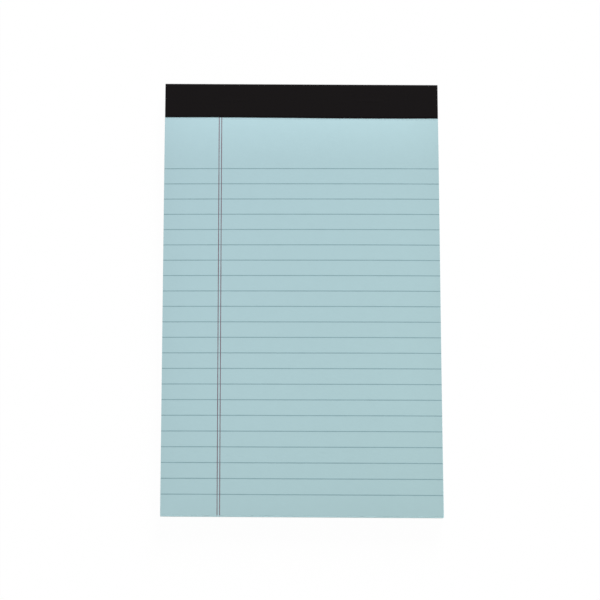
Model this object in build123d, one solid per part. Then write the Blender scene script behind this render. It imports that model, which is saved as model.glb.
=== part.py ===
"""Junior legal pad: ruled sheets on a backing board, stapled and bound with a folded tape.

The pad lies on its board. The origin is the middle of its underside, +X runs across the page,
+Y runs up the page to the bound edge, and +Z points out of the page. Sizes are in millimetres.
"""

import os

from build123d import *

# Sheets
sheet_width = 127.0  # 5 in
pad_length = 203.2  # 8 in, over the tape at the bound edge
sheet_count = 50
sheet_thickness = 0.08
stack_swell = 1.3  # how far the loose sheets stand above the bound ones
swell_run = 22.0  # length over which they rise, from the tape's edge

# Backing board
board_thickness = 0.8
board_crush = 0.06  # how far the board is pressed in under the tape's back flap

# Binding tape, one strip folded over the bound edge
tape_thickness = 0.2
tape_front = 16.35
tape_back = 16.35
tape_fold = 0.4  # radius inside its two folds

# Perforation, a row of slits through every sheet
perforation_offset = 0.8  # from the tape's front edge
perforation_pitch = 2.1
perforation_cut = 1.5
perforation_slit = 0.1

# Staples of flat wire under the tape
staple_width = 0.7
staple_thickness = 0.5
staple_crown = 12.0  # between the middles of the two legs
staple_clinch = 4.0  # leg length turned in under the board
staple_bend = 0.5  # at the middle of the wire
staple_inset = 8.0  # from the outside of the bound edge
staple_place_shares = (0.25, 0.75)  # of the sheet's width
staple_clearance = 0.02

# Printed ruling
header_depth = 25.1  # from the tape's front edge to the first rule
rule_pitch = 7.257  # three and a half rules to the inch
rule_width = 0.4
foot_least = 9.0  # least depth left bare below the last rule
margin_inset = 25.33  # from the left edge to the first margin line
margin_gap = 1.16  # between the two margin lines
margin_width = 0.38
ink_film = 0.02

# Room by which a cutting tool passes a face
overrun = 0.5

# Places that follow from the sizes
spine = pad_length / 2
bound_edge = spine - tape_thickness
front_edge = spine - tape_front
back_edge = spine - tape_back
foot_edge = -pad_length / 2
swell_end = front_edge - swell_run
board_under = tape_thickness - board_crush
board_top = board_under + board_thickness
bound_top = board_top + sheet_count * sheet_thickness
loose_top = bound_top + stack_swell
fold_radius = min(tape_fold, board_thickness / 2)  # the board's own edge limits it


def across(outline, width):
    """Solid of that width, centred on X, from edges that close an outline in side view (Y, Z)."""
    return extrude(Plane.YZ * make_face(outline), amount=width / 2, both=True)


def sheet_surface(lift=0):
    """Top sheet in side view: flat from the foot, then an arc down to the tape's front edge."""
    flat = Line((foot_edge, loose_top + lift), (swell_end, loose_top + lift))
    fall = TangentArc(flat @ 1, (front_edge, bound_top + lift), tangent=flat % 1)
    return flat, fall


def pages():
    """Stack of sheets, pinched flat under the tape, with the perforation and the staples' channels."""
    flat, fall = sheet_surface()
    bound = Line(fall @ 1, (bound_edge - fold_radius, bound_top))
    corner = TangentArc(bound @ 1, (bound_edge, bound_top - fold_radius), tangent=bound % 1)
    rest = Polyline(corner @ 1, (bound_edge, board_top), (foot_edge, board_top), flat @ 0)
    stack = across([flat, fall, bound, corner, rest], sheet_width)
    return stack - perforation() - staple_channels()


def perforation():
    """Cutting tools for the row of slits, as many as fit across the sheet."""
    slits = GridLocations(perforation_pitch, 0, int(sheet_width / perforation_pitch), 1)
    slit = Box(
        perforation_cut,
        perforation_slit,
        loose_top - board_top + 2 * overrun,
        align=(Align.CENTER, Align.CENTER, Align.MIN),
    )
    return Pos(0, front_edge - perforation_offset, board_top - overrun) * slits * slit


def backing_board():
    """Stiff card under the sheets, pressed in below the tape's back flap."""
    underside = Polyline(
        (foot_edge, board_under),
        (back_edge, board_under),
        (back_edge, tape_thickness),
        (bound_edge - fold_radius, tape_thickness),
    )
    corner = TangentArc(
        underside @ 1, (bound_edge, tape_thickness + fold_radius), tangent=underside % 1
    )
    rest = Polyline(corner @ 1, (bound_edge, board_top), (foot_edge, board_top), underside @ 0)
    return across([underside, corner, rest], sheet_width) - staple_channels()


def binding_tape():
    """Strip of tape folded round the bound edge, from the top sheet to the underside of the board."""
    inside = FilletPolyline(
        (front_edge, bound_top),
        (bound_edge, bound_top),
        (bound_edge, tape_thickness),
        (back_edge, tape_thickness),
        radius=fold_radius,
    )
    outside = FilletPolyline(
        (front_edge, bound_top + tape_thickness),
        (spine, bound_top + tape_thickness),
        (spine, 0),
        (back_edge, 0),
        radius=fold_radius + tape_thickness,
    )
    ends = [Line(inside @ end, outside @ end) for end in (0, 1)]
    return across([inside, outside, *ends], sheet_width)


def staple_places():
    """Places of the staples under the tape, below the middles of their crowns."""
    height = spine - staple_inset
    return [Pos((share - 1 / 2) * sheet_width, height, 0) for share in staple_place_shares]


def staple_heights():
    """Middle of the wire in the clinched ends and in the crown."""
    reach = staple_thickness / 2 + staple_clearance
    return tape_thickness + reach, bound_top - reach


def bent_wire(room=0):
    """Flat wire along one staple's line, with room around it: clinched end, leg, crown, leg, clinched end."""
    clinch_height, crown_height = staple_heights()
    leg = staple_crown / 2
    line = FilletPolyline(
        (staple_clinch - leg, 0, clinch_height),
        (-leg, 0, clinch_height),
        (-leg, 0, crown_height),
        (leg, 0, crown_height),
        (leg, 0, clinch_height),
        (leg - staple_clinch, 0, clinch_height),
        radius=staple_bend,
    )
    section = Rectangle(staple_width + 2 * room, staple_thickness + 2 * room)
    return sweep(Plane(line @ 0, x_dir=Axis.Y.direction, z_dir=line % 0) * section, path=line)


def staple_channels():
    """Cutting tools that bed the staples flush in the top sheets and in the board's underside."""
    clinch_height, crown_height = staple_heights()
    width = staple_width + 2 * staple_clearance
    crown = Box(
        staple_crown,
        width,
        bound_top - crown_height + overrun,
        align=(Align.CENTER, Align.CENTER, Align.MIN),
    )
    clinch = Box(
        staple_clinch,
        width,
        clinch_height,
        align=(Align.MIN, Align.CENTER, Align.MIN),
    )
    channel = bent_wire(staple_clearance) + Pos(0, 0, crown_height) * crown
    for left in (-staple_crown / 2, staple_crown / 2 - staple_clinch):
        channel += Pos(left, 0, 0) * clinch
    return [place * channel for place in staple_places()]


def staples():
    """The wire staples that hold the sheets to the board."""
    return Compound(children=[place * bent_wire() for place in staple_places()])


def ink_band(left, right):
    """Film of ink on the top sheet, from the tape to the foot, between two places across the page."""
    flat, fall = sheet_surface()
    flat_top, fall_top = sheet_surface(ink_film)
    ends = [Line(flat @ 0, flat_top @ 0), Line(fall @ 1, fall_top @ 1)]
    band = across([flat, fall, flat_top, fall_top, *ends], right - left)
    return Pos((left + right) / 2, 0, 0) * band


def margin_sides():
    """Left and right side of each of the two margin lines."""
    first = margin_inset - sheet_width / 2
    half = margin_width / 2
    return [(middle - half, middle + half) for middle in (first, first + margin_gap)]


def margin_lines():
    """The double margin line, from the tape to the foot of the top sheet."""
    return Compound(children=[ink_band(*sides) - perforation() for sides in margin_sides()])


def rule_slabs():
    """Slabs across the pad, one for each rule, as many as the depth of the page takes."""
    first = front_edge - header_depth
    count = 1 + int((first - foot_edge - foot_least) / rule_pitch)
    slab = Box(
        sheet_width,
        rule_width,
        stack_swell + overrun,
        align=(Align.CENTER, Align.CENTER, Align.MIN),
    )
    return [Pos(0, first - number * rule_pitch, bound_top) * slab for number in range(count)]


def ruled_lines():
    """Rules printed from edge to edge of the top sheet, broken where the margin lines cross them."""
    edges = [-sheet_width / 2, *sum(margin_sides(), ()), sheet_width / 2]
    bands = [ink_band(left, right) for left, right in zip(edges[::2], edges[1::2])]
    return Compound(children=[band & slab for slab in rule_slabs() for band in bands])


def main():
    """Writes one file for each piece of the pad."""
    os.makedirs("parts", exist_ok=True)
    for piece in (backing_board, pages, binding_tape, staples, ruled_lines, margin_lines):
        export_step(piece(), f"parts/{piece.__name__}.step")


main()
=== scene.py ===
"""Dresses the legal pad: sheets, ruling, folded tape, chipboard back and staples, in a plain studio."""

import logging
import math
from dataclasses import dataclass
from enum import Enum, IntEnum
from typing import Any, Optional, Sequence, Union

import bpy
import numpy as np
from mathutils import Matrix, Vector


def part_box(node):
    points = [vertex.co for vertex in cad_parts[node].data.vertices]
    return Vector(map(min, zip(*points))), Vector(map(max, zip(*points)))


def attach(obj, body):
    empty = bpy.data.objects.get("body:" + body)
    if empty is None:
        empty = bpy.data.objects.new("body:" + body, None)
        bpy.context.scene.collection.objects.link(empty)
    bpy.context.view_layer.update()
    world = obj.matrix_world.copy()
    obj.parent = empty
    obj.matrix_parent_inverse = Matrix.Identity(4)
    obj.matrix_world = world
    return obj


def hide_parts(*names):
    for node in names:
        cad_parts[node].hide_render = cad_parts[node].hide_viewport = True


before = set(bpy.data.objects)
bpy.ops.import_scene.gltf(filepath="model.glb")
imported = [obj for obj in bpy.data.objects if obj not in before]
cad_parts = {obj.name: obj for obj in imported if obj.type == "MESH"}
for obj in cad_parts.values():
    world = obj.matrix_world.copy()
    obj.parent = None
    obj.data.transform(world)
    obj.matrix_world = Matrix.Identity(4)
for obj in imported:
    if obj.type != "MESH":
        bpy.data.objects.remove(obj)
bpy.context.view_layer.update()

Array = np.ndarray
Triple = tuple[float, float, float]
Colour = Triple
Pair = tuple[float, float]

MM = 0.001
FULL_TURN = 2 * math.pi
BOTH_SIDES = np.array([-0.5, 0.5])
BODY = "root"
BAKE_MAP = "OFBake"
SHARP_ANGLE = math.radians(30)
WAVER_SINES = 6
log = logging.getLogger("legal_pad")


class Wall(IntEnum):
    """Faces of a thick sheet: its two broad sides, and the walls that run along X and along Y."""

    TOP = 0
    UNDER = 1
    ALONG_X = 2
    ALONG_Y = 3


class Ink(Enum):
    """The two printings on the top sheet, by the names of their solids."""

    RULE = "ruled_lines"
    MARGIN = "margin_lines"


class Mixing(Enum):
    """How one colour goes over another."""

    COVER = "MIX"
    MULTIPLY = "MULTIPLY"


# Shader expressions


class Sock:
    """A node's output that takes part in sums, products and comparisons of values."""

    def __init__(self, bench: "Bench", out: bpy.types.NodeSocket) -> None:
        """Keeps the node tree and the output that the value comes from."""
        self.bench = bench
        self.out = out

    def __add__(self, other: "Value") -> "Sock":
        """Sum of two values."""
        return self.bench.math("ADD", self, other)

    def __sub__(self, other: "Value") -> "Sock":
        """Difference of two values."""
        return self.bench.math("SUBTRACT", self, other)

    def __rsub__(self, other: "Value") -> "Sock":
        """Difference of a number and this value."""
        return self.bench.math("SUBTRACT", other, self)

    def __mul__(self, other: "Value") -> "Sock":
        """Product of two values."""
        return self.bench.math("MULTIPLY", self, other)

    def __truediv__(self, other: "Value") -> "Sock":
        """Quotient of two values."""
        return self.bench.math("DIVIDE", self, other)

    def __lt__(self, other: "Value") -> "Sock":
        """One where this value is the smaller, else zero."""
        return self.bench.math("LESS_THAN", self, other)

    def __gt__(self, other: "Value") -> "Sock":
        """One where this value is the larger, else zero."""
        return self.bench.math("GREATER_THAN", self, other)

    def __abs__(self) -> "Sock":
        """The value without its sign."""
        return self.bench.math("ABSOLUTE", self)

    def between(self, limits: Pair) -> "Sock":
        """A value that goes from the first limit to the second as this one goes from 0 to 1."""
        return self * (limits[1] - limits[0]) + limits[0]

    __radd__ = __add__
    __rmul__ = __mul__


Value = Union[Sock, float]


def grey(level: float) -> tuple[float, float, float, float]:
    """An opaque grey of that level."""
    return (level, level, level, 1.0)


class Bench:
    """A node tree with one way to add any node, and short ways to the ones used most."""

    def __init__(self, tree: bpy.types.NodeTree) -> None:
        """Takes a tree and empties it."""
        self.tree = tree
        self.tree.nodes.clear()

    def node(
        self,
        kind: str,
        settings: Optional[dict[str, Any]] = None,
        sockets: Optional[dict[Any, Any]] = None,
    ) -> bpy.types.Node:
        """Adds a node.

        Args:
            kind: The node's type.
            settings: Its properties, set first.
            sockets: Values or links for its inputs, by name or number.

        Returns:
            The node.
        """
        node = self.tree.nodes.new(kind)
        for name, value in (settings or {}).items():
            setattr(node, name, value)
        for name, value in (sockets or {}).items():
            if isinstance(value, Sock):
                self.tree.links.new(value.out, node.inputs[name])
            else:
                node.inputs[name].default_value = value
        return node

    def add(
        self,
        kind: str,
        settings: Optional[dict[str, Any]] = None,
        sockets: Optional[dict[Any, Any]] = None,
        out: Union[int, str] = 0,
    ) -> Sock:
        """Adds a node and takes one of its outputs, by name or number."""
        return Sock(self, self.node(kind, settings, sockets).outputs[out])

    def math(self, operation: str, *values: Value) -> Sock:
        """Adds one Math node on one or two values."""
        return self.add("ShaderNodeMath", {"operation": operation}, dict(enumerate(values)))

    def clamp(self, value: Sock) -> Sock:
        """The value held between 0 and 1."""
        return self.add("ShaderNodeClamp", None, {0: value})

    def place(self, stretch: Triple = (1.0, 1.0, 1.0)) -> Sock:
        """Place on the object in metres, with each axis stretched."""
        here = self.add("ShaderNodeTexCoord", out="Object")
        return self.add("ShaderNodeVectorMath", {"operation": "MULTIPLY"}, {0: here, 1: stretch})

    def axes(self) -> list[Sock]:
        """X, Y and Z of the place on the object."""
        here = self.add("ShaderNodeTexCoord", out="Object")
        return [Sock(self, out) for out in self.node("ShaderNodeSeparateXYZ", None, {0: here}).outputs]

    def noise(
        self,
        size: float,
        detail: float = 3.0,
        rough: float = 0.55,
        stretch: Triple = (1.0, 1.0, 1.0),
    ) -> Sock:
        """Soft random values from 0 to 1.

        Args:
            size: Size of the largest features in metres.
            detail: Number of finer layers.
            rough: Share of each finer layer.
            stretch: How much finer the features are along each axis.

        Returns:
            The values.
        """
        sockets = {"Vector": self.place(stretch), "Scale": 1 / size, "Detail": detail, "Roughness": rough}
        return self.add("ShaderNodeTexNoise", None, sockets)

    def specks(self, spacing: float, reach: float) -> Sock:
        """One inside small round specks, one to a cell of that size, and zero between them."""
        sockets = {"Vector": self.place(), "Scale": 1 / spacing}
        return self.add("ShaderNodeTexVoronoi", None, sockets, "Distance") < reach

    def blend(
        self,
        share: Value,
        first: Union[Sock, Colour],
        second: Union[Sock, Colour],
        how: Mixing = Mixing.COVER,
    ) -> Sock:
        """Puts one colour over another.

        Args:
            share: How much of the second colour there is.
            first: The colour below.
            second: The colour on top.
            how: The way in which they mix.

        Returns:
            The mixed colour.
        """
        colours = [c if isinstance(c, Sock) else (*c, 1.0) for c in (first, second)]
        sockets = {0: share, 6: colours[0], 7: colours[1]}
        return self.add("ShaderNodeMix", {"data_type": "RGBA", "blend_type": how.value}, sockets, 2)

    def bump(self, height: Sock, depth: float) -> Sock:
        """Normal of a surface with that relief, at that depth in metres."""
        return self.add("ShaderNodeBump", None, {"Height": height, "Distance": depth})

    def surface(self, **sockets: Any) -> None:
        """Ends a material in a Principled shader.

        Args:
            sockets: Values or links for its inputs, with underscores for the spaces in their names.
        """
        named = {name.replace("_", " "): value for name, value in sockets.items()}
        shader = self.add("ShaderNodeBsdfPrincipled", None, named)
        self.node("ShaderNodeOutputMaterial", None, {"Surface": shader})


def new_material(name: str) -> tuple[bpy.types.Material, Bench]:
    """Makes an empty material.

    Args:
        name: Its name.

    Returns:
        The material and the bench of its node tree.
    """
    material = bpy.data.materials.new(name)
    material.use_nodes = True
    return material, Bench(material.node_tree)


# Surfaces


@dataclass
class Shell:
    """A closed mesh of four-sided faces, with what each face and each corner belongs to."""

    points: Array
    faces: Array
    kinds: Array  # which Wall each face is
    upper: Array  # which corners of each face are on the top grid
    owner: Array  # number of the shell that each face came from

    @classmethod
    def join(cls, shells: Sequence["Shell"]) -> "Shell":
        """Puts several shells into one.

        Args:
            shells: The shells, in order.

        Returns:
            The joined shell, whose faces are owned by the numbers of their own shells.
        """
        starts = np.cumsum([0] + [len(s.points) for s in shells])
        return cls(
            np.concatenate([s.points for s in shells]),
            np.concatenate([s.faces + start for s, start in zip(shells, starts)]),
            np.concatenate([s.kinds for s in shells]),
            np.concatenate([s.upper for s in shells]),
            np.concatenate([np.full(len(s.faces), number) for number, s in enumerate(shells)]),
        )


def slab(top: Array, under: Array, kept: Optional[Array] = None) -> Shell:
    """Closes the room between two grids of points.

    Each kept cell has a face on the top grid, wound to look away from the other grid, and one on the
    under grid, wound the other way. An edge with a kept cell on one side only gets a wall between the
    grids that looks to the other side. Rows run up the page and columns run to the right.

    Args:
        top: Points of the top grid, rows by columns by 3.
        under: Points of the grid below it.
        kept: Which cells are there; all of them if left out.

    Returns:
        The closed shell.
    """
    rows, columns = top.shape[:2]
    high = np.arange(rows * columns).reshape(rows, columns)
    low = high + rows * columns
    if kept is None:
        kept = np.ones((rows - 1, columns - 1), bool)
    corners = np.stack([high[:-1, :-1], high[:-1, 1:], high[1:, 1:], high[1:, :-1]], -1)[kept]
    ring = np.pad(kept, 1)
    behind, ahead = ring[:-1, 1:-1], ring[1:, 1:-1]
    left, right = ring[1:-1, :-1], ring[1:-1, 1:]
    along_x = np.stack([low[:, :-1], low[:, 1:], high[:, 1:], high[:, :-1]], -1)
    along_y = np.stack([high[:-1], high[1:], low[1:], low[:-1]], -1)
    parts = {
        Wall.TOP: corners,
        Wall.UNDER: corners[:, ::-1] + rows * columns,
        Wall.ALONG_X: np.concatenate([along_x[ahead & ~behind], along_x[behind & ~ahead][:, ::-1]]),
        Wall.ALONG_Y: np.concatenate([along_y[right & ~left], along_y[left & ~right][:, ::-1]]),
    }
    faces = np.concatenate(list(parts.values()))
    kinds = np.concatenate([np.full(len(part), int(kind)) for kind, part in parts.items()])
    points = np.concatenate([top.reshape(-1, 3), under.reshape(-1, 3)])
    return Shell(points, faces, kinds, faces < rows * columns, np.zeros(len(faces), int))


def waver(places: Array, size: float, longest: float, seed: int) -> Array:
    """Gentle wandering along a line.

    It is a sum of sines whose lengths are the longest one over 1, 2, 3 and so on, each as strong as it is
    long, with phases drawn by the seed.

    Args:
        places: Places along the line.
        size: How far it could wander at most.
        longest: Length of the longest sine.
        seed: Seed of the draw.

    Returns:
        How far the line is out at each place.
    """
    lengths = longest / np.arange(1, WAVER_SINES + 1)
    phases = np.random.default_rng(seed).uniform(0, FULL_TURN, len(lengths))
    waves = np.sin(FULL_TURN * places[..., None] / lengths + phases)
    return size * (waves * lengths / lengths.sum()).sum(-1)


def put_piece(
    name: str,
    shell: Shell,
    material: bpy.types.Material,
    stands_for: str,
    bake_places: Optional[Array] = None,
) -> None:
    """Makes a piece of the pad from a shell and ties it to the frame.

    Args:
        name: The piece's name.
        shell: Its mesh.
        material: Its finish.
        stands_for: The solid that it is shown in place of.
        bake_places: Places of its corners on a flat map, faces by 4 by 2.
    """
    mesh = bpy.data.meshes.new(name)
    mesh.vertices.add(len(shell.points))
    mesh.vertices.foreach_set("co", shell.points.astype(np.float32).ravel())
    mesh.loops.add(shell.faces.size)
    mesh.loops.foreach_set("vertex_index", shell.faces.astype(np.int32).ravel())
    mesh.polygons.add(len(shell.faces))
    mesh.polygons.foreach_set("loop_start", np.arange(0, shell.faces.size, 4, dtype=np.int32))
    mesh.update(calc_edges=True)
    if bake_places is not None:
        layer = mesh.uv_layers.new(name=BAKE_MAP)
        layer.data.foreach_set("uv", bake_places.astype(np.float32).ravel())
    mesh.validate()
    mesh.shade_smooth()
    mesh.set_sharp_from_angle(angle=SHARP_ANGLE)
    mesh.materials.append(material)
    piece = bpy.data.objects.new(name, mesh)
    bpy.context.scene.collection.objects.link(piece)
    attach(piece, BODY)
    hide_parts(stands_for)
    log.info("%s: %d faces for %s", name, len(shell.faces), stands_for)


# Sizes


@dataclass(frozen=True)
class PadSizes:
    """Edges and levels of the pad in metres, read from the frame, and how its loose sheets lie."""

    half_width: float
    foot: float
    bound: float
    spine: float
    front: float
    board_under: float
    board_top: float
    bound_top: float
    loose_top: float
    fold_radius: float = 0.4 * MM  # inside the tape's two folds
    swell_run: float = 22 * MM  # over which the sheets rise, from the tape's edge
    swell_lean: float = 0.08  # share by which they rise more at the right and less at the left
    side_fall: float = 0.3  # share of the rise that is lost at the cut sides
    droop: float = 1.2 * MM  # fall at the foot
    droop_run: float = 55 * MM
    askew: float = 0.5 * MM  # fault of the foot's cut from side to side
    askew_pivot: float = 0.4  # where the cut is true, as a share of half the width

    @classmethod
    def from_frame(cls) -> "PadSizes":
        """Reads the solids' boxes.

        Returns:
            The pad's sizes.
        """
        pages_low, pages_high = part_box("pages")
        tape_low, tape_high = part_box("binding_tape")
        board_low, board_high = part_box("backing_board")
        tape = tape_high.y - pages_high.y
        return cls(
            half_width=pages_high.x,
            foot=pages_low.y,
            bound=pages_high.y,
            spine=tape_high.y,
            front=tape_low.y,
            board_under=board_low.z,
            board_top=board_high.z,
            bound_top=tape_high.z - tape,
            loose_top=pages_high.z,
        )

    @property
    def tape(self) -> float:
        """Thickness of the tape."""
        return self.spine - self.bound

    @property
    def swell_end(self) -> float:
        """Where the sheets have risen to their loose height."""
        return self.front - self.swell_run

    def way_down(self, y: Array) -> Array:
        """Share of the way from the tape to the foot."""
        return np.clip((self.front - y) / (self.front - self.foot), 0, 1)

    def top_height(self, x: Array, y: Array) -> Array:
        """Height of the stack.

        Up the page it is level in the middle. To the tape it falls by a circle's arc and is level again
        under it; to the foot it falls by the square of the way, as a pressed free end does. Across the
        page the loose part leans a little to the left and falls to both cut sides by the fourth power of
        the way.

        Args:
            x: Places across the page.
            y: Places up the page.

        Returns:
            Heights.
        """
        drop = self.loose_top - self.bound_top
        radius = (self.swell_run**2 + drop**2) / (2 * drop)
        past = np.clip(y - self.swell_end, 0, self.swell_run)
        to_foot = np.clip((self.foot + self.droop_run - y) / self.droop_run, 0, 1)
        loose = drop - radius + np.sqrt(radius**2 - past**2) - self.droop * to_foot**2
        aside = x / self.half_width
        return self.bound_top + loose * (1 + self.swell_lean * aside - self.side_fall * aside**4)

    def skewed(self, x: Array, y: Array) -> Array:
        """Places up the page as it is trimmed and printed.

        The foot is cut askew, short at its left and a hair long at its right. The fault grows from the
        tape by the fourth power of the way.

        Args:
            x: Places across the page.
            y: Places up the page in a true pad.

        Returns:
            Places up the page.
        """
        return y + self.askew * (self.askew_pivot - x / self.half_width) / 2 * self.way_down(y) ** 4


@dataclass(frozen=True)
class Perforation:
    """Row of slits through the sheets, just below the tape."""

    offset: float = 0.8 * MM
    pitch: float = 2.1 * MM
    cut: float = 1.5 * MM
    slit: float = 0.05 * MM

    def ends(self, half_width: float) -> Array:
        """Ends of the slits, as many as fit across the sheet.

        Args:
            half_width: Half the sheet's width.

        Returns:
            Left and right end of each slit in turn, from left to right.
        """
        count = int(2 * half_width / self.pitch)
        middles = (np.arange(count) - (count - 1) / 2) * self.pitch
        return (middles[:, None] + self.cut * BOTH_SIDES).ravel()

    def sides(self, front: float) -> Array:
        """Lower and upper side of the row of slits below the tape's front edge."""
        return front - self.offset + self.slit * BOTH_SIDES


# Finishes


@dataclass(frozen=True)
class WritingPaper:
    """Uncoated blue stock, cloudy, with a fine tooth and stray fibres, darker by its cut edges, with a
    painted light tint.
    """

    sizes: PadSizes
    colour: Colour = (0.420, 0.598, 0.634)
    cloud: float = 0.035  # share of the colour that changes with the clouds
    cloud_size: float = 5 * MM
    tooth: float = 0.03  # share that changes with the tooth
    tooth_size: float = 0.22 * MM
    relief: float = 0.008 * MM
    rim_darkening: float = 0.03  # share by which the cut sides and the foot are darker; at the foot this is painted shade
    rim_darkening_run: float = 20 * MM
    light_tint: Pair = (-0.13, 0.13)  # painted tint of cooler light: shares of blue gained in a metre to the right and up the page
    fibre: Colour = (0.2, 0.3, 0.36)
    fibre_share: float = 0.12
    fibre_spacing: float = 2.6 * MM
    fibre_reach: float = 0.035  # as a share of the spacing
    roughness: Pair = (0.84, 0.94)
    gloss: float = 0.2

    def tinted(self, bench: Bench) -> tuple[Sock, Sock]:
        """Colours the stock.

        Its colour is multiplied by a level that varies with the clouds and the tooth and falls to the
        sides and the foot by the square of the way, the fall at the foot being painted shade. The blue in
        it rises evenly to the head's left, a painted tint of cooler light.
        The fibres lie on it as specks.

        Args:
            bench: The material's bench.

        Returns:
            The colour, and the tooth that also makes the relief.
        """
        cloud = bench.noise(self.cloud_size, detail=4)
        tooth = bench.noise(self.tooth_size, detail=4, rough=0.65)
        x, y, _ = bench.axes()
        # Darker towards the cut sides and the foot; at the foot this is painted shade of the drooping end.
        inset = bench.math("MINIMUM", self.sizes.half_width - abs(x), y - self.sizes.foot)
        near = bench.clamp(1 - inset / self.rim_darkening_run)
        even = 1 - self.cloud / 2 - self.tooth / 2
        level = even + cloud * self.cloud + tooth * self.tooth - near * near * self.rim_darkening
        # Painted light: the blue rises to the left and up the page as a tint of cooler light.
        bluer = level + x * self.light_tint[0] + y * self.light_tint[1]
        shade = bench.add("ShaderNodeCombineColor", None, {0: level, 1: level, 2: bluer})
        stock = bench.blend(1.0, self.colour, shade, Mixing.MULTIPLY)
        fibres = bench.specks(self.fibre_spacing, self.fibre_reach) * self.fibre_share
        return bench.blend(fibres, stock, self.fibre), tooth

    def material(self) -> bpy.types.Material:
        """Makes the finish of a sheet.

        Returns:
            The material.
        """
        material, bench = new_material("blue_writing_paper")
        colour, tooth = self.tinted(bench)
        bench.surface(
            Base_Color=colour,
            Roughness=tooth.between(self.roughness),
            Normal=bench.bump(tooth, self.relief),
            Specular_IOR_Level=self.gloss,
        )
        return material


@dataclass(frozen=True)
class CutEdges:
    """Guillotined edges of the stack: each sheet has its own shade, with the ends of the printed lines."""

    paper: WritingPaper
    sizes: PadSizes
    ruling: "Ruling"
    sheet_pitch: float = 0.1 * MM
    sheet_rate: float = 8.0  # changes in a metre along the edge
    bundle_pitch: float = 0.55 * MM
    bundle_rate: float = 14.0
    shade: float = 0.2  # share of the dark tone
    dark: Colour = (0.30, 0.43, 0.47)
    ink_share: float = 0.3
    ink: Colour = (0.16, 0.23, 0.28)
    register: float = 1.1 * MM  # range over which a line wanders from sheet to sheet
    reach: float = 1.6 * MM  # how far in from an edge its faces are looked for
    roughness: Pair = (0.88, 0.96)
    gloss: float = 0.15

    @staticmethod
    def layered(bench: Bench, pitch: float, rate: float = 0.0, detail: float = 1.0) -> Sock:
        """Random values that change at that pitch through the stack, and so often in a metre along it."""
        return bench.noise(size=1.0, detail=detail, rough=0.5, stretch=(rate, rate, 1 / pitch))

    def ink_ends(self, bench: Bench) -> Sock:
        """Finds where a printed line runs out at an edge of the sheets, not quite in register.

        A rule is where the place up the page is near a whole number of pitches below the first one.

        Args:
            bench: The material's bench.

        Returns:
            One on an end of a line, else zero.
        """
        ruling = self.ruling
        x, y, _ = bench.axes()
        out = (self.layered(bench, self.sheet_pitch) - 0.5) * self.register
        x, y = x + out, y + out
        head, tail = ruling.first + ruling.pitch / 2, ruling.last - ruling.pitch / 2
        off_rule = abs(bench.math("FRACT", (head - y) / ruling.pitch) - 0.5)
        on_rule = (off_rule < ruling.rule_width / 2 / ruling.pitch) * ((y < head) * (y > tail))
        at_side = abs(x) > self.sizes.half_width - self.reach
        at_foot = y < self.sizes.foot + self.reach
        on_margin = sum((abs(x - middle) < ruling.margin_width / 2) for middle in ruling.margins)
        return on_rule * at_side + on_margin * at_foot

    def material(self) -> bpy.types.Material:
        """Makes the finish of the sheets whose edges show.

        Returns:
            The material.
        """
        material, bench = new_material("cut_paper_edges")
        colour, tooth = self.paper.tinted(bench)
        sheets = self.layered(bench, self.sheet_pitch, self.sheet_rate)
        bundles = self.layered(bench, self.bundle_pitch, self.bundle_rate, detail=2)
        shaded = bench.blend((sheets + bundles) * self.shade, colour, self.dark)
        bench.surface(
            Base_Color=bench.blend(self.ink_ends(bench) * self.ink_share, shaded, self.ink),
            Roughness=tooth.between(self.roughness),
            Normal=bench.bump(tooth, self.paper.relief),
            Specular_IOR_Level=self.gloss,
        )
        return material


@dataclass(frozen=True)
class PrintingInk:
    """Thin offset ink that lets a little of the paper through, in small patches and in longer runs."""

    name: str
    colour: Colour
    thin: Colour
    patch_size: float = 0.35 * MM
    patch_share: float = 0.5
    run_size: float = 9 * MM
    run_share: float = 0.6
    covered: float = 0.25  # taken off their sum, so that most of the ink is full
    roughness: Pair = (0.7, 0.85)
    gloss: float = 0.2

    def material(self) -> bpy.types.Material:
        """Makes the finish of the printed lines.

        Returns:
            The material.
        """
        material, bench = new_material(self.name)
        patches = bench.noise(self.patch_size, rough=0.6)
        runs = bench.noise(self.run_size, detail=2)
        thinned = bench.clamp(patches * self.patch_share + runs * self.run_share - self.covered)
        bench.surface(
            Base_Color=bench.blend(thinned, self.colour, self.thin),
            Roughness=patches.between(self.roughness),
            Specular_IOR_Level=self.gloss,
        )
        return material


@dataclass(frozen=True)
class TapeGrain:
    """Black binding tape: paper embossed with a fine leathery grain."""

    colour: Colour = (0.0038, 0.0028, 0.0031)
    worn: Colour = (0.0060, 0.0048, 0.0050)
    worn_share: float = 0.5
    pebble_size: float = 0.5 * MM
    pebble_round: float = 0.6
    fine_size: float = 0.12 * MM
    fine_height: float = 0.25
    broad_size: float = 14 * MM
    relief: float = 0.02 * MM
    roughness: float = 0.52
    broad_roughness: float = 0.12
    pebble_roughness: float = 0.1
    gloss: float = 0.045

    def material(self) -> bpy.types.Material:
        """Makes the finish of the tape.

        Returns:
            The material.
        """
        material, bench = new_material("black_binding_tape")
        cells = {"Vector": bench.place(), "Scale": 1 / self.pebble_size, "Smoothness": self.pebble_round}
        pebbles = bench.add("ShaderNodeTexVoronoi", {"feature": "SMOOTH_F1"}, cells, "Distance")
        fine = bench.noise(self.fine_size, rough=0.6)
        broad = bench.noise(self.broad_size)
        bench.surface(
            Base_Color=bench.blend((broad + fine) * self.worn_share, self.colour, self.worn),
            Roughness=self.roughness + broad * self.broad_roughness + pebbles * self.pebble_roughness,
            Normal=bench.bump(fine * self.fine_height - pebbles, self.relief),
            Specular_IOR_Level=self.gloss,
        )
        return material


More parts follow.
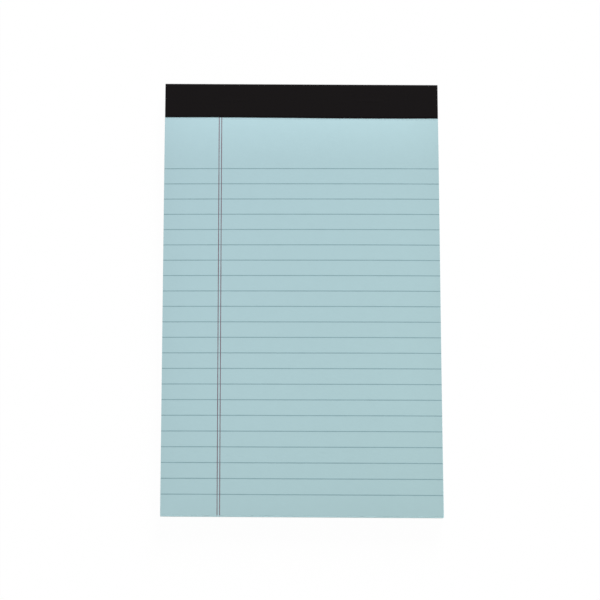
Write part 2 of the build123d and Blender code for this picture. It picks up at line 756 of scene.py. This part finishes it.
@dataclass(frozen=True)
class Chipboard:
    """Grey-brown board of recycled fibre, with pale and dark flecks."""

    colour: Colour = (0.34, 0.295, 0.235)
    pale: Colour = (0.47, 0.43, 0.36)
    cloud_size: float = 11 * MM
    fibre_size: float = 1.6 * MM
    fibre_finer: float = 6.0  # length of a fibre over its thickness
    strands: Pair = (0.42, 0.68)  # levels of fibre at which strands begin and are full
    strand_share: float = 0.35
    fleck: Colour = (0.16, 0.135, 0.11)
    fleck_spacing: float = 3.1 * MM
    fleck_reach: float = 0.09  # as a share of the spacing
    fleck_share: float = 0.7
    speck: Colour = (0.6, 0.57, 0.5)
    speck_spacing: float = 1.9 * MM
    speck_reach: float = 0.05
    speck_share: float = 0.8
    relief: float = 0.03 * MM
    roughness: Pair = (0.86, 0.94)
    gloss: float = 0.2

    def material(self) -> bpy.types.Material:
        """Makes the finish of the board.

        Clouds of a paler tone, then pale strands where fibres that lie along or across are thick, then
        dark flecks and pale specks.

        Returns:
            The material.
        """
        material, bench = new_material("grey_chipboard")
        finer = self.fibre_finer
        cloud = bench.noise(self.cloud_size, detail=4)
        along_x = bench.noise(self.fibre_size, rough=0.6, stretch=(1.0, finer, finer))
        along_y = bench.noise(self.fibre_size, rough=0.6, stretch=(finer, 1.0, finer))
        fibres = bench.math("MAXIMUM", along_x, along_y)
        strands = bench.clamp((fibres - self.strands[0]) / (self.strands[1] - self.strands[0]))
        flecks = bench.specks(self.fleck_spacing, self.fleck_reach) * self.fleck_share
        specks = bench.specks(self.speck_spacing, self.speck_reach) * self.speck_share
        pulp = bench.blend(cloud, self.colour, self.pale)
        stranded = bench.blend(strands * self.strand_share, pulp, self.pale)
        flecked = bench.blend(flecks, stranded, self.fleck)
        bench.surface(
            Base_Color=bench.blend(specks, flecked, self.speck),
            Roughness=cloud.between(self.roughness),
            Normal=bench.bump(fibres, self.relief),
            Specular_IOR_Level=self.gloss,
        )
        return material


@dataclass(frozen=True)
class StapleWire:
    """Galvanised flat wire with drawing marks along it."""

    colour: Colour = (0.6, 0.6, 0.61)
    dull: Colour = (0.42, 0.42, 0.43)
    mark_size: float = 0.8 * MM
    mark_finer: float = 12.0  # length of a mark over its width
    relief: float = 0.01 * MM
    roughness: Pair = (0.28, 0.48)

    def material(self) -> bpy.types.Material:
        """Makes the finish of the wire.

        Returns:
            The material.
        """
        material, bench = new_material("galvanised_wire")
        marks = bench.noise(self.mark_size, rough=0.6, stretch=(1.0, self.mark_finer, 1.0))
        bench.surface(
            Base_Color=bench.blend(marks, self.colour, self.dull),
            Roughness=marks.between(self.roughness),
            Metallic=1.0,
            Normal=bench.bump(marks, self.relief),
        )
        return material


# Sub-assemblies


@dataclass(frozen=True)
class BakeStrips:
    """Left and right limits of the strips of a flat map that hold a stack's faces."""

    top: Pair
    flat: Pair
    left: Pair
    right: Pair
    ends: Pair
    sheet_gap: float = 0.15  # share of a sheet's room that is left free on each side
    rim: float = 0.004  # left free at the lower and upper end of the map

    def places(self, shell: Shell, sizes: PadSizes) -> Array:
        """Lays a stack's faces out.

        The last sheet's top face has a strip of its own, and all other broad faces share one with the
        walls that the tape hides. A wall lies across its strip by its sheet's number and along it by its
        place up or across the page.

        Args:
            shell: The stack, one owner to a sheet.
            sizes: The pad's sizes.

        Returns:
            Places of the corners, faces by 4 by 2.
        """
        corners = shell.points[shell.faces]
        x = (corners[..., 0] + sizes.half_width) / (2 * sizes.half_width)
        y = (corners[..., 1] - sizes.foot) / (sizes.bound - sizes.foot)
        count = shell.owner.max() + 1
        layer = (shell.owner[:, None] + np.where(shell.upper, 1 - self.sheet_gap, self.sheet_gap)) / count
        kind = shell.kinds
        first = (kind == Wall.TOP) & (shell.owner == count - 1)
        on_left = corners[..., 0].mean(1) < 0
        at_foot = corners[..., 1].mean(1) < 0
        walls = [(kind == Wall.ALONG_Y) & on_left, kind == Wall.ALONG_Y, (kind == Wall.ALONG_X) & at_foot]
        strips = [self.top, self.left, self.right, self.ends]
        low = np.select([first, *walls], [s[0] for s in strips], self.flat[0])[:, None]
        high = np.select([first, *walls], [s[1] for s in strips], self.flat[1])[:, None]
        over = np.where((kind <= Wall.UNDER)[:, None], x, layer)
        along = np.where((kind == Wall.ALONG_X)[:, None], x, y)
        places = np.stack([low + (high - low) * over, self.rim + (1 - 2 * self.rim) * along], -1)
        return np.clip(places, 0, 1)


@dataclass
class SheetStack:
    """The ruled sheets: most of them plain, and the top few perforated."""

    sizes: PadSizes
    perforation: Perforation
    count: int = 50
    top_count: int = 4
    paper: float = 0.086 * MM
    most_filled: float = 0.96  # share of its room that a pressed sheet takes
    spine_room: float = 0.01 * MM  # between the sheets' ends and the tape
    stray: float = 0.03 * MM  # usual slip of one sheet
    drift: float = 0.09 * MM  # most that the pile drifts
    drift_sheets: float = 19.0  # sheets in the drift's longest wave
    slip_limit: float = 0.1 * MM
    splay: float = 0.35 * MM  # most that a sheet stands out at the foot
    cockle: float = 0.04 * MM  # height of each wave in the top sheet
    first_wave: Pair = (17 * MM, 41 * MM)  # way across and up for one radian
    second_wave: Pair = (-31 * MM, 23 * MM)
    wave_shift: float = 1.0  # in radians
    seed: int = 5
    plain_rows: int = 9
    plain_columns: int = 9
    top_rows: int = 36
    swell_rows: int = 15
    tucked_rows: int = 3
    plain_map: BakeStrips = BakeStrips(
        top=(0.0, 0.06), flat=(0.0, 0.06), left=(0.08, 0.37), right=(0.39, 0.68), ends=(0.7, 0.99)
    )
    top_map: BakeStrips = BakeStrips(
        top=(0.004, 0.624), flat=(0.64, 0.76), left=(0.78, 0.84), right=(0.86, 0.92), ends=(0.94, 0.996)
    )

    def slips(self) -> Array:
        """How far the sheets stand out of line: the pile's slow drift and each sheet's own stray.

        Returns:
            Slips across and up the page, a row per sheet. The top sheet has none.
        """
        numbers = np.arange(self.count)
        pile = [waver(numbers, self.drift, self.drift_sheets, self.seed + axis) for axis in range(2)]
        own = np.random.default_rng(self.seed).normal(0, self.stray, (self.count, 2))
        held = np.clip(np.stack(pile, -1) + own, -self.slip_limit, self.slip_limit)
        return held * (numbers < self.count - 1)[:, None]

    def surface(self, x: Array, y: Array, number: int) -> Array:
        """Height of a sheet's upper face.

        The sheets share out the height of the stack. The free part waves a little, as a sum of two
        crossing sines.

        Args:
            x: Places across the page.
            y: Places up the page.
            number: The sheet's number from the board, from 1.

        Returns:
            Heights.
        """
        s = self.sizes
        share = number / self.count
        level = s.board_top + share * (s.top_height(x, y) - s.board_top)
        free = np.clip((s.swell_end - y) / s.swell_run, 0, 1)
        first = np.sin(x / self.first_wave[0] + y / self.first_wave[1])
        second = np.sin(x / self.second_wave[0] + y / self.second_wave[1] + self.wave_shift)
        return level + free * share * self.cockle * (first + second)

    def bound_end(self, number: int) -> float:
        """Where a sheet ends at the bound edge: the top ones stop short by the round of the tape's fold.

        Args:
            number: The sheet's number from the board, from 1.

        Returns:
            The place up the page.
        """
        s = self.sizes
        r = s.fold_radius
        height = s.board_top + number / self.count * (s.bound_top - s.board_top)
        above = min(r, max(0.0, height - (s.bound_top - r)))
        return s.bound - r + math.sqrt(r**2 - above**2) - self.spine_room

    def sheet(self, number: int, across: Array, up: Array, kept: Optional[Array] = None) -> Shell:
        """One sheet as a slab, a little out of line with its neighbours at the free edges.

        Towards the foot the sheets also stand out to the right, by the fourth power of the way from the
        tape and by a parabola through the stack, most in its middle.

        Args:
            number: Its number from the board, from 1.
            across: Places of the columns.
            up: Places of the rows, the last at the bound edge.
            kept: Which cells are there.

        Returns:
            The sheet.
        """
        s = self.sizes
        over, along = self.slips()[number - 1]
        x, y = np.meshgrid(across, np.append(up[:-1], self.bound_end(number)))
        height = self.surface(x, y, number)
        spacing = (s.top_height(x, y) - s.board_top) / self.count
        thick = np.minimum(self.paper, self.most_filled * spacing)
        down = s.way_down(y)
        share = number / self.count
        aside = over + self.splay * 4 * share * (1 - share) * down**4
        x, y = x + aside, s.skewed(x, y) + along * down
        return slab(np.stack([x, y, height], -1), np.stack([x, y, height - thick], -1), kept)

    def open_rows(self, loose_rows: int, extra: Sequence[float] = ()) -> Array:
        """Rows of the part that shows, close together on the swell.

        Args:
            loose_rows: Number of rows below the swell.
            extra: Places of more rows.

        Returns:
            Places up the page, from the foot to the tape's front edge.
        """
        s = self.sizes
        loose = np.linspace(s.foot, s.swell_end, loose_rows, endpoint=False)
        swell = np.linspace(s.swell_end, s.front, self.swell_rows)
        return np.sort(np.concatenate([loose, swell, extra]))

    def rows(self, loose_rows: int, extra: Sequence[float] = ()) -> Array:
        """The open rows and those under the tape, the last at the bound edge."""
        tucked = np.linspace(self.sizes.front, self.sizes.bound, self.tucked_rows + 1)[1:]
        return np.append(self.open_rows(loose_rows, extra), tucked)

    def build(self, paper: bpy.types.Material, edges: bpy.types.Material) -> None:
        """Makes the plain sheets and the perforated top ones.

        Args:
            paper: Finish of the top sheets.
            edges: Finish of the others, of which only the edges show.
        """
        s = self.sizes
        first_top = self.count - self.top_count + 1
        plain_rows = self.rows(self.plain_rows)
        plain_columns = np.linspace(-s.half_width, s.half_width, self.plain_columns)
        plain = Shell.join([self.sheet(n, plain_columns, plain_rows) for n in range(1, first_top)])
        slit_sides = self.perforation.sides(s.front)
        rows = self.rows(self.top_rows, slit_sides)
        columns = np.concatenate([[-s.half_width], self.perforation.ends(s.half_width), [s.half_width]])
        in_row = np.isclose(rows[:-1], slit_sides[0])
        in_slit = np.arange(len(columns) - 1) % 2 == 1
        kept = ~(in_row[:, None] & in_slit[None, :])
        tops = Shell.join([self.sheet(n, columns, rows, kept) for n in range(first_top, self.count + 1)])
        put_piece("under_sheets", plain, edges, "pages", self.plain_map.places(plain, s))
        put_piece("top_sheets", tops, paper, "pages", self.top_map.places(tops, s))


@dataclass
class Ruling:
    """The printed rules and the double margin line, ribbons of ink that follow the top sheet."""

    sizes: PadSizes
    stack: SheetStack
    first: float
    last: float
    margins: Pair
    pitch: float = 7.257 * MM
    rule_width: float = 0.4 * MM
    rule_wave: float = 23 * MM
    margin_width: float = 0.38 * MM
    margin_wave: float = 31 * MM
    margin_seed: int = 40
    uneven: float = 0.12  # share by which a line's width wavers
    film: float = 0.012 * MM
    overprint: float = 0.006 * MM  # by which the margin lines stand over the rules
    bed: float = 0.01 * MM  # how deep the ink goes into the sheet
    tucked: float = 0.3 * MM  # how far the margin lines go under the tape
    lean: float = -0.0016  # way across for each way up
    spread: float = 0.25 * MM  # range by which the rules are out of register down the page
    fan: float = 0.217 * MM  # by which the first rule is out at each end
    columns: int = 96
    loose_rows: int = 80

    @classmethod
    def from_frame(cls, sizes: PadSizes, stack: SheetStack) -> "Ruling":
        """Reads the places of the first and last rule and of the margin lines.

        Args:
            sizes: The pad's sizes.
            stack: The sheets that are printed.

        Returns:
            The ruling.
        """
        rules_low, rules_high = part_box(Ink.RULE.value)
        margin_low, margin_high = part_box(Ink.MARGIN.value)
        half_rule, half_margin = cls.rule_width / 2, cls.margin_width / 2
        margins = (margin_low.x + half_margin, margin_high.x - half_margin)
        return cls(sizes, stack, rules_high.y - half_rule, rules_low.y + half_rule, margins)

    def ribbon(self, x: Array, y: Array, film: float, kept: Optional[Array] = None) -> Shell:
        """Strip of ink on the top sheet: its top stands a film above it, its underside a little below it.

        Args:
            x: Places across the page, rows by columns.
            y: Places up the page.
            film: Thickness of the ink.
            kept: Which cells are there.

        Returns:
            The strip.
        """
        height = self.stack.surface(x, y, self.stack.count)
        up = self.sizes.skewed(x, y)
        return slab(np.stack([x, up, height + film], -1), np.stack([x, up, height - self.bed], -1), kept)

    def rules(self) -> Shell:
        """All rules from edge to edge, each a little uneven in width.

        They are printed a hair out of register: higher at the head and the foot, by the square of the way
        less its mean, and the first ones also higher to the right and lower to the left.

        Returns:
            The ribbons.
        """
        half_width = self.sizes.half_width
        across = np.linspace(-half_width, half_width, self.columns)
        count = 1 + round((self.first - self.last) / self.pitch)
        ribbons = []
        for number, middle in enumerate(np.linspace(self.first, self.last, count)):
            half = self.rule_width / 2 * (1 + waver(across, self.uneven, self.rule_wave, number))
            way = 2 * number / (count - 1) - 1
            bowed = self.spread * (way**2 - 1 / 3)
            fanned = self.fan * (1 - way) / 2 * across / half_width
            y = middle + bowed + fanned + np.stack([-half, half])
            ribbons.append(self.ribbon(np.stack([across, across]), y, self.film))
        return Shell.join(ribbons)

    def margin_lines(self) -> Shell:
        """Both margin lines from the foot to the tape.

        They lean a little, are printed over the rules, and are cut where a slit crosses them.

        Returns:
            The ribbons.
        """
        perforation = self.stack.perforation
        slit_sides = perforation.sides(self.sizes.front)
        slit_ends = perforation.ends(self.sizes.half_width)
        up = np.append(self.stack.open_rows(self.loose_rows, slit_sides), self.sizes.front + self.tucked)
        in_row = np.isclose(up[:-1], slit_sides[0])
        ribbons = []
        for seed, middle in enumerate(self.margins, self.margin_seed):
            half = self.margin_width / 2 * (1 + waver(up, self.uneven, self.margin_wave, seed))
            line = middle + self.lean * up
            x = line[:, None] + np.stack([-half, half], -1)
            in_slit = np.searchsorted(slit_ends, line[:-1]) % 2 == 1
            kept = ~(in_row & in_slit)[:, None]
            ribbons.append(self.ribbon(x, np.stack([up, up], -1), self.film + self.overprint, kept))
        return Shell.join(ribbons)

    def build(self, rule_ink: PrintingInk, margin_ink: PrintingInk) -> None:
        """Makes the two printings and inks them.

        Args:
            rule_ink: Finish of the rules.
            margin_ink: Finish of the margin lines.
        """
        put_piece("rule_ink", self.rules(), rule_ink.material(), Ink.RULE.value)
        lines = self.margin_lines()
        put_piece("margin_ink", lines, margin_ink.material(), Ink.MARGIN.value)


@dataclass
class BindingTape:
    """The black strip folded round the bound edge, with the staples just telling through it."""

    sizes: PadSizes
    crown: float = 12 * MM  # of a staple, between the middles of its legs
    wire: float = 0.5 * MM
    clinch_gap: float = 4 * MM  # between a staple's turned ends
    front_ridge: float = 0.025 * MM
    back_ridge: float = 0.05 * MM
    ridge_spread: float = 0.55 * MM
    ridge_end: float = 0.25 * MM
    edge_waver: float = 0.025 * MM
    edge_wave: float = 35 * MM
    edge_part: float = 1 / 6  # share of half the strip over which an edge's fault fades
    sway: float = 0.145 * MM
    sway_length: float = 132 * MM
    sway_start: float = -6 * MM
    slack: float = 0.12 * MM  # room at the spine
    thinned: float = 0.55  # share of the thickness that is gone at the front edge
    thinned_run: float = 0.8 * MM
    swell: float = 0.006 * MM
    swell_across: float = 60 * MM
    swell_up: float = 12 * MM
    seed: int = 61
    columns: int = 180
    flap_steps: int = 44
    fold_steps: int = 6
    spine_steps: int = 12

    def path(self) -> tuple[Array, Array]:
        """Line of the tape's inside in side view.

        A circle of the fold's radius rolls along the front flap, down the spine and along the back flap;
        the tape lies on its outer side.

        Returns:
            Places (y, z) and outward directions, each a row per station.
        """
        s = self.sizes
        r = s.fold_radius
        high, low, inner = s.bound_top - r, s.tape + r, s.bound - r + self.slack
        centre_y = [s.front, inner, inner, inner, inner, s.front]
        centre_z = [high, high, high, low, low, low]
        turns = np.radians([90, 90, 0, 0, -90, -90])
        steps = [self.flap_steps, self.fold_steps, self.spine_steps, self.fold_steps, self.flap_steps]
        stations = np.concatenate([np.arange(n) / n + leg for leg, n in enumerate(steps)] + [[len(steps)]])
        legs = np.arange(len(steps) + 1)
        centre = np.stack([np.interp(stations, legs, places) for places in (centre_y, centre_z)], -1)
        angle = np.interp(stations, legs, turns)
        outward = np.stack([np.cos(angle), np.sin(angle)], -1)
        return centre + r * outward, outward

    def within(self, off: Array, length: float) -> Array:
        """One inside that length about a staple's middle and zero past its ends, by a logistic curve."""
        return 1 / (1 + np.exp((off - length / 2) / self.ridge_end))

    def relief(self, x: Array, y: Array, facing: Array) -> Array:
        """How far the tape stands out over the staples.

        A ridge with a bell-shaped section runs along each crown in front and, with a gap in its middle,
        along the clinched ends behind.

        Args:
            x: Places across the pad.
            y: Places up the pad.
            facing: How far the tape looks up (1) or down (-1).

        Returns:
            Heights over the tape.
        """
        low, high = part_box("staples")
        line = (low.y + high.y) / 2
        middles = np.array([low.x, high.x]) - (self.crown + self.wire) * BOTH_SIDES
        section = np.exp(-(((y - line) / self.ridge_spread) ** 2))
        off = np.abs(x[..., None] - middles).min(-1)
        on_crown = self.within(off, self.crown)
        on_clinch = on_crown - self.within(off, self.clinch_gap)
        front = self.front_ridge * on_crown * np.clip(facing, 0, 1)
        back = self.back_ridge * on_clinch * np.clip(-facing, 0, 1)
        return section * (front + back)

    def stray(self, x: Array, way: Array) -> Array:
        """How far the tape's two long edges are out of line.

        Both waver, and the front one also sways slowly by a sine. The fault fades out from an edge over
        its own part of the strip.

        Args:
            x: Places across the pad.
            way: Way round the strip, from -1 at the front edge to 1 at the back one.

        Returns:
            Distances up the pad.
        """
        front, back = (self.edge_waver * waver(x, 1, self.edge_wave, self.seed + end) for end in range(2))
        sway = self.sway * np.sin(FULL_TURN * (self.sway_start - x) / self.sway_length)
        near_edge = np.clip(1 - (1 - np.abs(way)) / self.edge_part, 0, 1)
        return near_edge * np.where(way < 0, sway + front, back)

    def build(self, grain: TapeGrain) -> None:
        """Carries the section across the pad and dresses it.

        The back is thinner than the tape by the height of its ridge, so that the ridge is as thick as the
        tape. The strip thins out to its front edge and dips a little in slow waves.

        Args:
            grain: The tape's finish.
        """
        s = self.sizes
        line, outward = self.path()
        across = np.linspace(-s.half_width, s.half_width, self.columns)
        x = np.broadcast_to(across, (len(line), self.columns))
        y = line[:, :1] + self.stray(x, np.linspace(-1, 1, len(line))[:, None])
        z = np.broadcast_to(line[:, 1:], x.shape)
        waves = waver(x, 1, self.swell_across, self.seed + 2) + waver(y, 1, self.swell_up, self.seed + 3)
        worn = 1 - self.thinned * np.clip(1 - (line[:, :1] - s.front) / self.thinned_run, 0, 1)
        behind = np.clip(-outward[:, 1:], 0, 1)
        thick = (s.tape - self.back_ridge * behind) * worn
        rise = thick + self.relief(x, y, outward[:, 1:]) + np.minimum(self.swell * waves, 0)
        top = np.stack([x, y + outward[:, :1] * rise, z + outward[:, 1:] * rise], -1)
        shell = slab(top, np.stack([x, y, z], -1))
        put_piece("tape", shell, grain.material(), "binding_tape")


@dataclass
class BackingBoard:
    """The chipboard back, pressed in under the tape's back flap and a little rough at its cut edges."""

    sizes: PadSizes
    ramp: float = 0.5 * MM  # length of the step at the flap's edge
    rough: float = 0.02 * MM  # most that a cut edge wavers inwards
    rough_wave: float = 6 * MM
    softened: float = 0.06 * MM  # radius of the cut edges
    seed: int = 71
    round_rows: int = 5
    flat_rows: int = 60
    ramp_rows: int = 4
    tucked_rows: int = 6
    columns: int = 64

    def underside(self, y: Array) -> Array:
        """Height of the underside: level, then a short ramp to the tape's flap, then a round.

        Args:
            y: Places up the pad.

        Returns:
            Heights.
        """
        s = self.sizes
        r = s.fold_radius
        pressed = np.clip((y - s.front) / self.ramp + 1, 0, 1)
        into = np.clip(y - (s.bound - r), 0, r)
        return s.board_under + (s.tape - s.board_under) * pressed + r - np.sqrt(r**2 - into**2)

    def fall(self, inset: Array) -> Array:
        """How far a face falls off by a quarter circle, at those distances from a cut edge."""
        short = np.clip(self.softened - inset, 0, self.softened)
        return self.softened - np.sqrt(self.softened**2 - short**2)

    def build(self, finish: Chipboard) -> None:
        """Makes the board as a slab with softened edges that waver inwards, and dresses it.

        Args:
            finish: The board's finish.
        """
        s = self.sizes
        quarter = np.linspace(0, math.pi / 2, self.round_rows)
        rim = self.softened * (1 - np.cos(quarter))
        flat = np.linspace(s.foot, s.front - self.ramp, self.flat_rows, endpoint=False)[1:]
        step = np.linspace(s.front - self.ramp, s.front, self.ramp_rows)
        tucked = np.linspace(s.front, s.bound - s.fold_radius, self.tucked_rows)[1:]
        turn = s.bound - s.fold_radius + s.fold_radius * np.sin(quarter)[1:]
        up = np.concatenate([s.foot + rim, flat, step, tucked, turn])
        inner = np.linspace(-s.half_width, s.half_width, self.columns)[1:-1]
        across = np.concatenate([rim - s.half_width, inner, s.half_width - rim[::-1]])
        x, y = np.meshgrid(across, up)
        from_side, from_foot = s.half_width - np.abs(x), y - s.foot
        fall = self.fall(np.minimum(from_side, from_foot))
        at_side, at_foot = from_side < 2 * self.softened, from_foot < 2 * self.softened
        side_in = at_side * np.abs(waver(y, self.rough, self.rough_wave, self.seed))
        foot_in = at_foot * np.abs(waver(x, self.rough, self.rough_wave, self.seed + 1))
        x, y = x - np.sign(x) * side_in, s.skewed(x, y) + foot_in
        under = np.stack([x, y, self.underside(y) + fall], -1)
        top = np.stack([x, y, s.board_top - fall], -1)
        put_piece("board", slab(top, under), finish.material(), "backing_board")


@dataclass(frozen=True)
class Staples:
    """The staples under the tape, kept as their solids."""

    finish: StapleWire = StapleWire()

    def dress(self) -> None:
        """Gives the solids their wire."""
        material = self.finish.material()
        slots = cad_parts["staples"].material_slots
        for slot in slots:
            slot.material = material
        log.info("staples: %d slots dressed", len(slots))


# Studio


@dataclass(frozen=True)
class Softbox:
    """A square lamp that looks at the pad from the head (azimuth 0), the right (90) or the foot (180)."""

    name: str
    azimuth: float
    elevation: float
    distance: float
    size: float
    share: float  # of full light on the page

    def build(self, target: Array) -> None:
        """Hangs the lamp.

        Its power gives the page that share of full light: a lamp of P watts lights a level page at
        distance d by P times the sine of its elevation, over pi d squared, and full light is pi.

        Args:
            target: The point that it looks at.
        """
        turn, rise = math.radians(self.azimuth), math.radians(self.elevation)
        way = np.array([math.sin(turn) * math.cos(rise), math.cos(turn) * math.cos(rise), math.sin(rise)])
        lamp = bpy.data.lights.new(self.name, "AREA")
        lamp.shape = "SQUARE"
        lamp.size = self.size
        lamp.energy = self.share * (math.pi * self.distance) ** 2 / math.sin(rise)
        box = bpy.data.objects.new(self.name, lamp)
        box.location = target + way * self.distance
        box.rotation_euler = (math.pi / 2 - rise, 0.0, math.pi - turn)
        bpy.context.scene.collection.objects.link(box)


@dataclass(frozen=True)
class Studio:
    """White floor, soft light from the head of the pad, and the camera of the photograph."""

    key: Softbox = Softbox("key_softbox", azimuth=12.0, elevation=17.0, distance=7.0, size=2.8, share=0.52)
    fill: Softbox = Softbox("foot_fill", azimuth=180.0, elevation=4.0, distance=4.0, size=0.5, share=0.046)
    ambient: float = 0.45
    floor_size: float = 12.0
    floor_bounce: float = 0.85
    floor_shadow: float = 0.03
    lens: float = 153.81  # in millimetres, as the sensor
    sensor: float = 36.0
    clip_start: float = 0.01
    camera_place: Triple = (-19.57 * MM, -276.49 * MM, 1145.03 * MM)
    camera_turn: Triple = (13.5394, -0.9407, -0.0142)  # in degrees

    @staticmethod
    def seen_directly(bench: Bench) -> Sock:
        """Tells what the camera sees, also in a mirror or through glass, from what lights the pad.

        Args:
            bench: The bench of the world or the material.

        Returns:
            One for what is seen, else zero.
        """
        rays = bench.node("ShaderNodeLightPath").outputs
        kinds = ("Is Camera Ray", "Is Glossy Ray", "Is Transmission Ray")
        return bench.clamp(sum(Sock(bench, rays[kind]) for kind in kinds))

    def build_world(self) -> None:
        """Even light from all round, white where it is seen."""
        world = bpy.data.worlds.new("even_light")
        world.use_nodes = True
        bench = Bench(world.node_tree)
        strength = self.seen_directly(bench).between((self.ambient, 1.0))
        light = bench.add("ShaderNodeBackground", None, {"Color": grey(1.0), "Strength": strength})
        bench.node("ShaderNodeOutputWorld", None, {"Surface": light})
        bpy.context.scene.world = world

    def build_floor(self) -> None:
        """White floor that is seen as white and keeps a soft part of the pad's shadow."""
        material, bench = new_material("studio_floor")
        matte = bench.add("ShaderNodeBsdfDiffuse", None, {"Color": grey(self.floor_bounce)})
        shadow = bench.add("ShaderNodeBsdfDiffuse", None, {"Color": grey(self.floor_shadow)})
        glow = bench.add("ShaderNodeEmission", None, {"Color": grey(1.0 - self.floor_shadow)})
        white = bench.add("ShaderNodeAddShader", None, {0: shadow, 1: glow})
        shown = bench.add("ShaderNodeMixShader", None, {0: self.seen_directly(bench), 1: matte, 2: white})
        bench.node("ShaderNodeOutputMaterial", None, {"Surface": shown})
        half = self.floor_size / 2
        corners = [(-half, -half, 0), (half, -half, 0), (half, half, 0), (-half, half, 0)]
        mesh = bpy.data.meshes.new("floor")
        mesh.from_pydata(corners, [], [(0, 1, 2, 3)])
        mesh.materials.append(material)
        floor = bpy.data.objects.new("floor", mesh)
        bpy.context.scene.collection.objects.link(floor)

    def build_camera(self) -> None:
        """Camera above the foot of the pad, where the photograph was taken from."""
        data = bpy.data.cameras.new("camera")
        data.lens = self.lens
        data.sensor_width = self.sensor
        data.clip_start = self.clip_start
        camera = bpy.data.objects.new("camera", data)
        camera.location = self.camera_place
        camera.rotation_euler = [math.radians(turn) for turn in self.camera_turn]
        bpy.context.scene.collection.objects.link(camera)
        bpy.context.scene.camera = camera

    def build(self, sizes: PadSizes) -> None:
        """Sets up the light, the floor and the camera.

        Args:
            sizes: The pad's sizes.
        """
        target = np.array([0.0, 0.0, sizes.loose_top])
        self.build_world()
        self.build_floor()
        self.build_camera()
        for lamp in (self.key, self.fill):
            lamp.build(target)
        bpy.context.scene.view_settings.view_transform = "Standard"


def main() -> None:
    """Builds the pad's pieces in order, then the studio."""
    logging.basicConfig(level=logging.INFO, format="%(message)s")
    sizes = PadSizes.from_frame()
    stack = SheetStack(sizes, Perforation())
    ruling = Ruling.from_frame(sizes, stack)
    paper = WritingPaper(sizes)
    # The cut edges' paler colour is partly that of cut fibres and partly painted light that lifts the
    # shade they lie in.
    lit_cut_paper = WritingPaper(sizes, colour=(0.62, 0.79, 0.82), rim_darkening=0.0)
    stack.build(paper.material(), CutEdges(lit_cut_paper, sizes, ruling).material())
    ruling.build(
        PrintingInk("rule_ink", colour=(0.229, 0.361, 0.393), thin=(0.289, 0.440, 0.482)),
        PrintingInk("margin_ink", colour=(0.155, 0.098, 0.125), thin=(0.240, 0.180, 0.215)),
    )
    BindingTape(sizes).build(TapeGrain())
    BackingBoard(sizes).build(Chipboard())
    Staples().dress()
    Studio().build(sizes)


if __name__ == "__main__":
    main()
